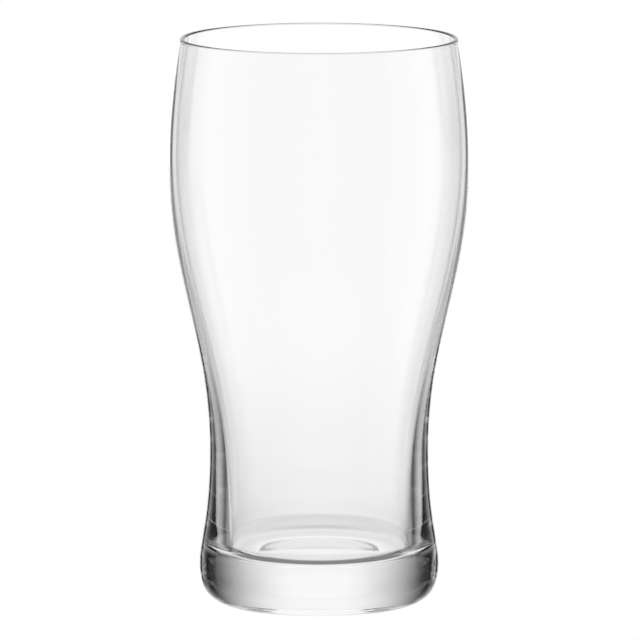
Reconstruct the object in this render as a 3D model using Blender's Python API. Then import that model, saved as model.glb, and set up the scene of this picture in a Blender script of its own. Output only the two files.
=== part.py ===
"""Pint glass: one piece of clear glass, blown in a mould and round about +Z, standing on z = 0.

Its outline is a closed line in the XZ half-plane, from the middle of the floor up the inside,
over the lip, down the outside and in under the foot. A Screw modifier turns it once about +Z.
Lengths are in metres.
"""

import math

import bpy

# Outside, from the rim down
HEIGHT = 0.165
RIM_RADIUS = 0.0402
BULGE_RADIUS = 0.0435
BULGE_HEIGHT = 0.130
WAIST_RADIUS = 0.0318
WAIST_HEIGHT = 0.0446
FOOT_RADIUS = 0.0348
FOOT_HEIGHT = 0.0115

# Underside: a flat ring that the glass rests on, round a shallow hollow
REST_RING_OUTER = 0.0235
REST_RING_INNER = 0.0205
PUNT_DEPTH = 0.0012

# Drinking space
LIP_THICKNESS = 0.0013
BULGE_WALL = 0.00118
BORE_RADIUS = 0.0268
BORE_HEIGHT = 0.024
FLOOR_HEIGHT = 0.0138
FLOOR_RISE = 0.0006
CORNER_RADIUS = 0.0040

# How straight each stretch leaves its upper and its lower end, as a share of its height
SHOULDER_EASE = (0.16, 0.39)
BELLY_EASE = (0.42, 0.40)
FLARE_EASE = (0.60, 0.21)
INNER_BELLY_EASE = (0.36, 0.47)
RIM_LEAN = 0.20

# How far the foot's rounding goes straight down and then level before it turns
FOOT_EASE = (0.60, 0.19)

# Facets
AROUND = 64
LIP_STEPS = 6
SHOULDER_STEPS = 6
BELLY_STEPS = 14
FLARE_STEPS = 8
FOOT_STEPS = 7
CORNER_STEPS = 5
DISH_STEPS = 4
MERGE_DISTANCE = 1e-6

GLASS_IOR = 1.52
GLASS_ROUGHNESS = 0.0
GLASS_COLOUR = (0.98, 0.985, 0.98, 1.0)


def clear_scene():
    for obj in list(bpy.data.objects):
        bpy.data.objects.remove(obj)


def cubic(corners, steps):
    """Points of a cubic curve after its first corner."""
    points = []
    for step in range(1, steps + 1):
        t = step / steps
        weights = ((1 - t) ** 3, 3 * t * (1 - t) ** 2, 3 * t * t * (1 - t), t ** 3)
        points.append(tuple(sum(w * c[axis] for w, c in zip(weights, corners)) for axis in (0, 1)))
    return points


def flowing(start, end, ease, steps, lean=0.0):
    """Points after start of a curve that is upright at both ends, or leans at its upper one."""
    upper, lower = max(start, end, key=lambda p: p[1]), min(start, end, key=lambda p: p[1])
    rise = upper[1] - lower[1]
    upper_handle = (upper[0] + lean * ease[0] * rise, upper[1] - ease[0] * rise)
    lower_handle = (lower[0], lower[1] + ease[1] * rise)
    handles = (upper_handle, lower_handle) if start == upper else (lower_handle, upper_handle)
    return cubic((start, *handles, end), steps)


def tucked_in(start, end, steps):
    """Points after start of the foot's rounding, from upright at start to level at end."""
    start_handle = (start[0], start[1] + (end[1] - start[1]) * FOOT_EASE[0])
    end_handle = (start[0] + (end[0] - start[0]) * FOOT_EASE[1], end[1])
    return cubic((start, start_handle, end_handle, end), steps)


def rounding(centre, radii, start, end, steps):
    """Points of an ellipse's arc after start. The angles are in degrees, from +X towards +Z."""
    points = []
    for step in range(1, steps + 1):
        angle = math.radians(start + (end - start) * step / steps)
        points.append((centre[0] + radii[0] * math.cos(angle), centre[1] + radii[1] * math.sin(angle)))
    return points


def dish(middle, edge, steps):
    """Points after the middle, at r = 0, of a shallow bowl or dome that ends at edge."""
    rise = edge[1] - middle
    return [(edge[0] * s / steps, middle + rise * (s / steps) ** 2) for s in range(1, steps + 1)]


def inside():
    """The drinking space, from the middle of the floor to the foot of the lip."""
    floor_edge = (BORE_RADIUS - CORNER_RADIUS, FLOOR_HEIGHT + FLOOR_RISE)
    corner_centre = (floor_edge[0], floor_edge[1] + CORNER_RADIUS)
    bulge = (BULGE_RADIUS - BULGE_WALL, BULGE_HEIGHT)
    lip = (RIM_RADIUS - LIP_THICKNESS, HEIGHT - LIP_THICKNESS / 2)
    return [
        (0.0, FLOOR_HEIGHT),
        *dish(FLOOR_HEIGHT, floor_edge, DISH_STEPS),
        *rounding(corner_centre, (CORNER_RADIUS, CORNER_RADIUS), -90, 0, CORNER_STEPS),
        (BORE_RADIUS, BORE_HEIGHT),
        *flowing((BORE_RADIUS, BORE_HEIGHT), bulge, INNER_BELLY_EASE, BELLY_STEPS),
        *flowing(bulge, lip, SHOULDER_EASE, SHOULDER_STEPS, RIM_LEAN),
    ]


def over_the_lip():
    half = LIP_THICKNESS / 2
    return rounding((RIM_RADIUS - half, HEIGHT - half), (half, half), 180, 0, LIP_STEPS)


def outside():
    """From the lip down to the ring that the glass rests on."""
    lip = (RIM_RADIUS, HEIGHT - LIP_THICKNESS / 2)
    bulge = (BULGE_RADIUS, BULGE_HEIGHT)
    waist = (WAIST_RADIUS, WAIST_HEIGHT)
    foot = (FOOT_RADIUS, FOOT_HEIGHT)
    return [
        *flowing(lip, bulge, SHOULDER_EASE, SHOULDER_STEPS, RIM_LEAN),
        *flowing(bulge, waist, BELLY_EASE, BELLY_STEPS),
        *flowing(waist, foot, FLARE_EASE, FLARE_STEPS),
        *tucked_in(foot, (REST_RING_OUTER, 0.0), FOOT_STEPS),
    ]


def underneath():
    """From the resting ring in to the middle of the hollow."""
    hollow = dish(PUNT_DEPTH, (REST_RING_INNER, 0.0), DISH_STEPS)
    return [*reversed(hollow), (0.0, PUNT_DEPTH)]


def clear_glass():
    material = bpy.data.materials.new("clear_glass")
    material.use_nodes = True
    shader = material.node_tree.nodes["Principled BSDF"]
    shader.inputs["Base Color"].default_value = GLASS_COLOUR
    shader.inputs["Roughness"].default_value = GLASS_ROUGHNESS
    shader.inputs["Metallic"].default_value = 0.0
    shader.inputs["IOR"].default_value = GLASS_IOR
    shader.inputs["Transmission Weight"].default_value = 1.0
    return material


def turned(name, outline, material):
    """An object with this outline turned once about +Z."""
    mesh = bpy.data.meshes.new(name)
    edges = [(i, i + 1) for i in range(len(outline) - 1)]
    mesh.from_pydata([(r, 0.0, z) for r, z in outline], edges, [])
    mesh.materials.append(material)
    obj = bpy.data.objects.new(name, mesh)
    bpy.context.scene.collection.objects.link(obj)
    screw = obj.modifiers.new("turn", "SCREW")
    screw.steps = AROUND
    screw.render_steps = AROUND
    screw.use_merge_vertices = True
    screw.merge_threshold = MERGE_DISTANCE
    screw.use_smooth_shade = True
    return obj


clear_scene()
turned("glass_body", inside() + over_the_lip() + outside() + underneath(), clear_glass())
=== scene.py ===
"""Looks of the pint glass: a fine turned wall, clear glass, and a light tent to see it in."""

import math
from collections import namedtuple

import bpy
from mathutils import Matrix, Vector


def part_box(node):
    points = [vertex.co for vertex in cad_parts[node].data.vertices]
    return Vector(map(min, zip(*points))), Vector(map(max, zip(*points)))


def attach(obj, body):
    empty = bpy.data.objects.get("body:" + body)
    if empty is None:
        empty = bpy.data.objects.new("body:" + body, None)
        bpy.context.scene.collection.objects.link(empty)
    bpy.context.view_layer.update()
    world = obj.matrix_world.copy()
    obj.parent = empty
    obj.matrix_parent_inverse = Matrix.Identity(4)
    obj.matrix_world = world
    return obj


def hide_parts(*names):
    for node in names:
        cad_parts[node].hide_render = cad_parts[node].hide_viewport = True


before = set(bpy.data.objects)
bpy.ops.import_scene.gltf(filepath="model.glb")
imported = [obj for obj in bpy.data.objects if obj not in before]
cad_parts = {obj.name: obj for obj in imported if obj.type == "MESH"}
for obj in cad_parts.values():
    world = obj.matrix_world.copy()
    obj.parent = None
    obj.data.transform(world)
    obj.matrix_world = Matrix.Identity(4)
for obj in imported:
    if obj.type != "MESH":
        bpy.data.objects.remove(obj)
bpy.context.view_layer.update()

# The frame that everything hangs on
low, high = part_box("glass_body")
HEIGHT = high.z - low.z
BULGE_RADIUS = (high.x - low.x) / 2

# Outside, from the rim down, in metres
RIM_RADIUS = 0.0402
BULGE_HEIGHT = 0.130
WAIST_RADIUS = 0.0318
WAIST_HEIGHT = 0.0446
FOOT_RADIUS = 0.0348
FOOT_HEIGHT = 0.0115
REST_RING_OUTER = 0.0235
REST_RING_INNER = 0.0205
PUNT_DEPTH = 0.0012

# Drinking space
LIP_THICKNESS = 0.0013
BULGE_WALL = 0.00118
BORE_RADIUS = 0.0268
BORE_HEIGHT = 0.024
FLOOR_HEIGHT = 0.0138
FLOOR_RISE = 0.0006
CORNER_RADIUS = 0.0040

# Facets round the glass and along each stretch of its outline
AROUND = 240
DISH_STEPS = 18
CORNER_STEPS = 14
BELLY_STEPS = 110
SHOULDER_STEPS = 20
LIP_STEPS = 8
FLARE_STEPS = 48
FOOT_STEPS = 24
PUNT_STEPS = 14
MERGE_DISTANCE = 1e-6

# Curve to Mesh carries the outline round a circle this small
PATH_RADIUS = 0.001

# Glass surface: its waviness, and how rough it is where it is clean and where it was handled
GLASS_IOR = 1.52
WAVES_PER_METRE = 45.0
WAVE_HEIGHT = 0.00002
WAVE_STRENGTH = 0.25
HAZE_PER_METRE = 60.0
HAZE_BEGINS = 0.35
HAZE_FULL = 0.75
CLEAN = 0.0
HANDLED = 0.02

# Camera: a long lens, a little above the middle of the glass
CAMERA_DISTANCE = 15 * HEIGHT
CAMERA_ELEVATION = 8.24
CAMERA_AIM = Vector((0.00027, 0.0, HEIGHT / 2 + 0.0002))
LENS = 480.3
SENSOR = 36.0

# Stage
FLOOR_SIZE = 8.0
FLOOR_GAP = 0.0002
LIGHT_BOUNCES = 24


# ---------------------------------------------------------------- node helpers


def add(tree, kind, inputs=(), **settings):
    """A new node with these settings. inputs pairs a socket's name or number with a value or an output."""
    node = tree.nodes.new(kind)
    for name, value in settings.items():
        setattr(node, name, value)
    for key, value in dict(inputs).items():
        if isinstance(value, bpy.types.NodeSocket):
            tree.links.new(value, node.inputs[key])
        else:
            node.inputs[key].default_value = value
    return node


class Sums:
    """Arithmetic on sockets and numbers in one node tree."""

    def __init__(self, tree):
        self.tree = tree

    def __call__(self, operation, *values):
        return add(self.tree, "ShaderNodeMath", enumerate(values), operation=operation).outputs[0]


# ---------------------------------------------------------------- the turned wall

# The sizes that the node tree takes by name
OUTLINE_SIZES = {
    "Height": HEIGHT,
    "Rim Radius": RIM_RADIUS,
    "Bulge Radius": BULGE_RADIUS,
    "Bulge Height": BULGE_HEIGHT,
    "Waist Radius": WAIST_RADIUS,
    "Waist Height": WAIST_HEIGHT,
    "Foot Radius": FOOT_RADIUS,
    "Foot Height": FOOT_HEIGHT,
    "Rest Ring Outer": REST_RING_OUTER,
    "Rest Ring Inner": REST_RING_INNER,
    "Punt Depth": PUNT_DEPTH,
    "Lip Thickness": LIP_THICKNESS,
    "Bulge Wall": BULGE_WALL,
    "Bore Radius": BORE_RADIUS,
    "Bore Height": BORE_HEIGHT,
    "Floor Height": FLOOR_HEIGHT,
    "Floor Rise": FLOOR_RISE,
    "Corner Radius": CORNER_RADIUS,
}
# How straight each stretch leaves its upper and its lower end, as a share of its height
SHOULDER_EASE = (0.16, 0.39)
BELLY_EASE = (0.42, 0.40)
FLARE_EASE = (0.60, 0.21)
INNER_BELLY_EASE = (0.36, 0.47)
RIM_LEAN = 0.20
# How far a rounding follows each side of its corner: a true quarter circle, and the foot
QUARTER_ROUND = (0.5523, 0.4477)
FOOT_EASE = (0.60, 0.19)


class Outline:
    """The closed outline as curve segments in a Geometry Nodes tree, each from where the last one ended."""

    def __init__(self, tree):
        self.tree = tree
        self.sums = Sums(tree)
        self.pieces = []

    def point(self, radius, height):
        """Curve to Mesh sets the outline's +X away from the axis and its +Y downwards."""
        return add(
            self.tree,
            "ShaderNodeCombineXYZ",
            {0: self.sums("SUBTRACT", radius, PATH_RADIUS), 1: self.sums("MULTIPLY", height, -1.0)},
        ).outputs[0]

    def between(self, a, b, share):
        """a + (b - a) * share, for numbers or sockets."""
        return self.sums("MULTIPLY_ADD", self.sums("SUBTRACT", b, a), share, a)

    def segment(self, start, start_handle, end_handle, end, steps):
        node = add(
            self.tree,
            "GeometryNodeCurvePrimitiveBezierSegment",
            {
                "Resolution": steps,
                "Start": self.point(*start),
                "Start Handle": self.point(*start_handle),
                "End Handle": self.point(*end_handle),
                "End": self.point(*end),
            },
            mode="POSITION",
        )
        self.pieces.append(node.outputs[0])

    def line(self, start, end):
        self.segment(start, start, end, end, 1)

    def quarter(self, start, corner, end, steps, ease=QUARTER_ROUND):
        """A rounding tangent to the corner's two sides. Its handles lie this far along each of them."""
        start_handle = tuple(self.between(a, b, ease[0]) for a, b in zip(start, corner))
        end_handle = tuple(self.between(a, b, ease[1]) for a, b in zip(corner, end))
        self.segment(start, start_handle, end_handle, end, steps)

    def flowing(self, upper, lower, ease, steps, lean=0.0, rising=False):
        """A stretch that is upright at both ends, or leans at its upper one."""
        drop = self.sums("MULTIPLY", self.sums("SUBTRACT", upper[1], lower[1]), ease[0])
        upper_handle = (
            self.sums("MULTIPLY_ADD", drop, lean, upper[0]),
            self.sums("SUBTRACT", upper[1], drop),
        )
        lower_handle = (lower[0], self.between(lower[1], upper[1], ease[1]))
        corners = (upper, upper_handle, lower_handle, lower)
        self.segment(*(reversed(corners) if rising else corners), steps)

    def dish(self, middle, edge, steps, inward=False):
        """A shallow bowl or dome out to edge: its height goes with the square of the radius."""
        corners = (
            (0.0, middle),
            (self.sums("DIVIDE", edge[0], 3.0), middle),
            (self.sums("MULTIPLY", edge[0], 2 / 3), self.between(middle, edge[1], 1 / 3)),
            edge,
        )
        self.segment(*(reversed(corners) if inward else corners), steps)


def outline_tree():
    """A Geometry Nodes tree that draws the outline from named sizes and turns it round +Z."""
    tree = bpy.data.node_groups.new("turned_glass", "GeometryNodeTree")
    face = tree.interface
    face.new_socket("Geometry", in_out="OUTPUT", socket_type="NodeSocketGeometry")
    for name in OUTLINE_SIZES:
        face.new_socket(name, in_out="INPUT", socket_type="NodeSocketFloat")
    face.new_socket("Around", in_out="INPUT", socket_type="NodeSocketInt")
    face.new_socket("Material", in_out="INPUT", socket_type="NodeSocketMaterial")
    size = tree.nodes.new("NodeGroupInput").outputs
    outline = Outline(tree)
    sums = outline.sums

    half_lip = sums("DIVIDE", size["Lip Thickness"], 2.0)
    lip_level = sums("SUBTRACT", size["Height"], half_lip)
    lip_middle = sums("SUBTRACT", size["Rim Radius"], half_lip)
    rim = (size["Rim Radius"], lip_level)
    inner_rim = (sums("SUBTRACT", size["Rim Radius"], size["Lip Thickness"]), lip_level)
    bulge = (size["Bulge Radius"], size["Bulge Height"])
    inner_bulge = (sums("SUBTRACT", size["Bulge Radius"], size["Bulge Wall"]), size["Bulge Height"])
    waist = (size["Waist Radius"], size["Waist Height"])
    foot = (size["Foot Radius"], size["Foot Height"])
    bore = (size["Bore Radius"], size["Bore Height"])
    floor_edge = (
        sums("SUBTRACT", size["Bore Radius"], size["Corner Radius"]),
        sums("ADD", size["Floor Height"], size["Floor Rise"]),
    )
    corner_top = (size["Bore Radius"], sums("ADD", floor_edge[1], size["Corner Radius"]))

    lip_top = (lip_middle, size["Height"])
    ring_outer = (size["Rest Ring Outer"], 0.0)
    ring_inner = (size["Rest Ring Inner"], 0.0)

    outline.dish(size["Floor Height"], floor_edge, DISH_STEPS)
    outline.quarter(floor_edge, (bore[0], floor_edge[1]), corner_top, CORNER_STEPS)
    outline.line(corner_top, bore)
    outline.flowing(inner_bulge, bore, INNER_BELLY_EASE, BELLY_STEPS, rising=True)
    outline.flowing(inner_rim, inner_bulge, SHOULDER_EASE, SHOULDER_STEPS, RIM_LEAN, rising=True)
    outline.quarter(inner_rim, (inner_rim[0], lip_top[1]), lip_top, LIP_STEPS)
    outline.quarter(lip_top, (rim[0], lip_top[1]), rim, LIP_STEPS)
    outline.flowing(rim, bulge, SHOULDER_EASE, SHOULDER_STEPS, RIM_LEAN)
    outline.flowing(bulge, waist, BELLY_EASE, BELLY_STEPS)
    outline.flowing(waist, foot, FLARE_EASE, FLARE_STEPS)
    outline.quarter(foot, (foot[0], 0.0), ring_outer, FOOT_STEPS, FOOT_EASE)
    outline.line(ring_outer, ring_inner)
    outline.dish(size["Punt Depth"], ring_inner, PUNT_STEPS, inward=True)

    joined = add(tree, "GeometryNodeJoinGeometry")
    for piece in outline.pieces:
        tree.links.new(piece, joined.inputs[0])
    path = add(
        tree,
        "GeometryNodeCurvePrimitiveCircle",
        {"Resolution": size["Around"], "Radius": PATH_RADIUS},
    )
    wall = add(
        tree,
        "GeometryNodeCurveToMesh",
        {"Curve": path.outputs[0], "Profile Curve": joined.outputs[0]},
    )
    sealed = add(
        tree,
        "GeometryNodeMergeByDistance",
        {"Geometry": wall.outputs[0], "Distance": MERGE_DISTANCE},
    )
    smooth = add(tree, "GeometryNodeSetShadeSmooth", {0: sealed.outputs[0]})
    real = add(tree, "GeometryNodeRealizeInstances", {0: smooth.outputs[0]})
    dressed = add(
        tree,
        "GeometryNodeSetMaterial",
        {"Geometry": real.outputs[0], "Material": size["Material"]},
    )
    add(tree, "NodeGroupOutput", {0: dressed.outputs[0]})
    return tree


def turned_glass(material):
    """The whole glass as one plain mesh."""
    holder = bpy.data.objects.new("pint_glass_nodes", bpy.data.meshes.new("holder"))
    bpy.context.scene.collection.objects.link(holder)
    tree = outline_tree()
    turner = holder.modifiers.new("turn", "NODES")
    turner.node_group = tree
    values = {**OUTLINE_SIZES, "Around": AROUND, "Material": material}
    for item in tree.interface.items_tree:
        if item.in_out == "INPUT":
            turner[item.identifier] = values[item.name]
    graph = bpy.context.evaluated_depsgraph_get()
    mesh = bpy.data.meshes.new_from_object(holder.evaluated_get(graph))
    bpy.data.objects.remove(holder)
    mesh.name = "pint_glass"
    glass = bpy.data.objects.new("pint_glass", mesh)
    bpy.context.scene.collection.objects.link(glass)
    return glass


# ---------------------------------------------------------------- material


def clear_glass():
    """Fire-polished glass: faint mould waviness in the surface, and the least haze where it was handled."""
    material = bpy.data.materials.new("clear_glass")
    material.use_nodes = True
    tree = material.node_tree
    shader = tree.nodes["Principled BSDF"]
    place = add(tree, "ShaderNodeTexCoord").outputs["Object"]
    waves = add(
        tree,
        "ShaderNodeTexNoise",
        {"Vector": place, "Scale": WAVES_PER_METRE, "Detail": 1.0, "Roughness": 0.4},
    )
    relief = add(
        tree,
        "ShaderNodeBump",
        {"Height": waves.outputs[0], "Strength": WAVE_STRENGTH, "Distance": WAVE_HEIGHT},
    )
    haze = add(
        tree,
        "ShaderNodeTexNoise",
        {"Vector": place, "Scale": HAZE_PER_METRE, "Detail": 3.0, "Roughness": 0.6},
    )
    roughness = add(
        tree,
        "ShaderNodeMapRange",
        {
            "Value": haze.outputs[0],
            "From Min": HAZE_BEGINS,
            "From Max": HAZE_FULL,
            "To Min": CLEAN,
            "To Max": HANDLED,
        },
    )
    tree.links.new(relief.outputs[0], shader.inputs["Normal"])
    tree.links.new(roughness.outputs[0], shader.inputs["Roughness"])
    shader.inputs["Base Color"].default_value = (1.0, 1.0, 1.0, 1.0)
    shader.inputs["IOR"].default_value = GLASS_IOR
    shader.inputs["Transmission Weight"].default_value = 1.0
    return material


# ---------------------------------------------------------------- camera


def long_lens_camera():
    data = bpy.data.cameras.new("camera")
    camera = bpy.data.objects.new("camera", data)
    bpy.context.scene.collection.objects.link(camera)
    data.lens = LENS
    data.sensor_width = SENSOR
    elevation = math.radians(CAMERA_ELEVATION)
    back = Vector((0.0, -math.cos(elevation), math.sin(elevation)))
    camera.location = CAMERA_AIM + back * CAMERA_DISTANCE
    camera.rotation_euler = back.to_track_quat("Z", "Y").to_euler()
    bpy.context.scene.camera = camera


# ---------------------------------------------------------------- light tent

SHEET_WHITE = 1.0
# A panel's four sides, each with the width of its soft edge, in degrees of azimuth and of elevation
Panel = namedtuple("Panel", "left left_edge right right_edge low low_edge high high_edge brightness")
# The lit sheet behind the glass, the part that rises overhead, and its sweep down towards the glass
BACK_SHEET = Panel(-33, 30, 33, 30, -33, 50, -1, 6, 1.12)
HIGH_SHEET = Panel(-33, 52, 33, 52, -5, 6, 72, 30, 0.99)
SWEEP = Panel(-26, 30, 26, 30, -58, 30, 0, 6, 0.84)
# Dim light past both ends of the back sheet
SIDE_FILL = (
    Panel(-86, 12, -46, 12, -36, 8, -4, 8, 0.28),
    Panel(46, 12, 86, 12, -36, 8, -4, 8, 0.32),
)
# All round: the grey that comes up from below, and the white overhead
TENT_FLOOR = Panel(-190, 1, 190, 1, -95, 2, -34, 14, 0.22)
TENT_ROOF = Panel(-190, 1, 190, 1, 50, 30, 95, 2, 0.95)
# Boxes at the sides, which only show as reflections: each is brightest at its edge towards the back
SIDE_BOXES = (
    Panel(-116, 1.5, -61, 1.5, -32, 8, 36, 8, 0.17),
    Panel(-92, 44, -61, 1.5, -32, 8, 36, 8, 0.50),
    Panel(-56, 3, -28, 3, -2, 8, 36, 8, 0.40),
    Panel(72, 1.5, 123, 1.5, -32, 8, 36, 8, 0.17),
    Panel(72, 1.5, 102, 44, -32, 8, 36, 8, 0.50),
    Panel(28, 3, 66, 3, -2, 8, 36, 8, 0.40),
)
# Sheets behind the glass as it is seen from other sides
OTHER_SHEETS = (
    Panel(-108, 40, -75, 20, -22, 8, 26, 10, 1.05),
    Panel(-62, 8, -28, 8, -50, 8, -12, 8, 1.05),
    Panel(107, 24, 163, 24, -42, 12, 26, 10, 1.05),
)
# Black flags at the sides of the back sheet, which draw the glass's edges
FLAGS = (
    Panel(-25, 4, -15, 4, -15, 3, -3.2, 1.6, 0.92),
    Panel(15, 4, 25, 4, -15, 3, -3.2, 1.6, 0.92),
    Panel(-31, 4, -19, 4, -17.5, 3.5, -14, 3, 0.55),
    Panel(19, 4, 31, 4, -17.5, 3.5, -14, 3, 0.55),
    Panel(-32, 18, -8, 18, -26, 8, -14, 8, 0.12),
)


class Tent:
    """How bright the tent is in each direction: azimuth from +Y towards +X, elevation above level."""

    def __init__(self, tree):
        self.tree = tree
        self.sums = Sums(tree)
        direction = add(tree, "ShaderNodeTexCoord").outputs["Generated"]
        x, y, z = add(tree, "ShaderNodeSeparateXYZ", {0: direction}).outputs
        self.azimuth = self.sums("DEGREES", self.sums("ARCTAN2", x, y))
        self.elevation = self.sums("DEGREES", self.sums("ARCSINE", z))

    def soft_step(self, value, dark, bright):
        """0 at dark and 1 at bright, whichever of the two is larger."""
        node = add(
            self.tree,
            "ShaderNodeMapRange",
            {"Value": value, "From Min": dark, "From Max": bright},
            interpolation_type="SMOOTHSTEP",
        )
        return node.outputs[0]

    def band(self, value, start, start_edge, end, end_edge):
        """1 between start and end, 0 outside them, with edges this wide in between."""
        after = self.soft_step(value, start - start_edge / 2, start + start_edge / 2)
        before = self.soft_step(value, end + end_edge / 2, end - end_edge / 2)
        return self.sums("MULTIPLY", after, before)

    def panel(self, panel):
        """How bright one panel is in each direction."""
        across = self.band(self.azimuth, panel.left, panel.left_edge, panel.right, panel.right_edge)
        upright = self.band(self.elevation, panel.low, panel.low_edge, panel.high, panel.high_edge)
        return self.sums("MULTIPLY", self.sums("MULTIPLY", across, upright), panel.brightness)

    def brightest(self, panels):
        result = 0.0
        for panel in panels:
            result = self.sums("MAXIMUM", self.panel(panel), result)
        return result


def light_tent():
    """A white tent: pure white to the camera, and soft sheets, boxes and dark gaps to the glass."""
    world = bpy.data.worlds.new("light_tent")
    world.use_nodes = True
    bpy.context.scene.world = world
    tree = world.node_tree
    tent = Tent(tree)
    sums = tent.sums
    light_path = add(tree, "ShaderNodeLightPath").outputs
    sheets = tent.brightest((BACK_SHEET, HIGH_SHEET, SWEEP, TENT_FLOOR, TENT_ROOF, *SIDE_FILL))
    common = sums("MULTIPLY", sheets, sums("SUBTRACT", 1.0, tent.brightest(FLAGS)))
    through = tent.brightest(OTHER_SHEETS)
    mirrored = tent.brightest(SIDE_BOXES)
    is_mirrored = sums("GREATER_THAN", light_path["Glossy Depth"], 0.5)
    is_through = sums("SUBTRACT", 1.0, is_mirrored)
    apart = sums("MULTIPLY_ADD", through, is_through, sums("MULTIPLY", mirrored, is_mirrored))
    seen = sums("MAXIMUM", common, apart)
    to_camera = light_path["Is Camera Ray"]
    to_glass = sums("MULTIPLY", seen, sums("SUBTRACT", 1.0, to_camera))
    strength = sums("MULTIPLY_ADD", to_camera, SHEET_WHITE, to_glass)
    back = tree.nodes["Background"]
    back.inputs["Color"].default_value = (1.0, 1.0, 1.0, 1.0)
    tree.links.new(strength, back.inputs["Strength"])


def pale_floor():
    """A plain floor, as white as the tent behind it, that shows neither in the glass nor through it."""
    mesh = bpy.data.meshes.new("floor")
    half = FLOOR_SIZE / 2
    corners = [(-half, -half), (half, -half), (half, half), (-half, half)]
    mesh.from_pydata([(x, y, low.z - FLOOR_GAP) for x, y in corners], [], [(0, 1, 2, 3)])
    material = bpy.data.materials.new("pale_floor")
    material.use_nodes = True
    shader = material.node_tree.nodes["Principled BSDF"]
    shader.inputs["Base Color"].default_value = (0.0, 0.0, 0.0, 1.0)
    shader.inputs["Specular IOR Level"].default_value = 0.0
    shader.inputs["Emission Color"].default_value = (1.0, 1.0, 1.0, 1.0)
    shader.inputs["Emission Strength"].default_value = SHEET_WHITE
    mesh.materials.append(material)
    floor = bpy.data.objects.new("floor", mesh)
    bpy.context.scene.collection.objects.link(floor)
    floor.visible_transmission = False
    floor.visible_glossy = False
    return floor


glass = turned_glass(clear_glass())
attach(glass, "root")
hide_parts("glass_body")
long_lens_camera()
light_tent()
pale_floor()
scene = bpy.context.scene
scene.view_settings.view_transform = "Standard"
scene.cycles.max_bounces = LIGHT_BOUNCES
scene.cycles.transmission_bounces = LIGHT_BOUNCES
scene.cycles.glossy_bounces = LIGHT_BOUNCES
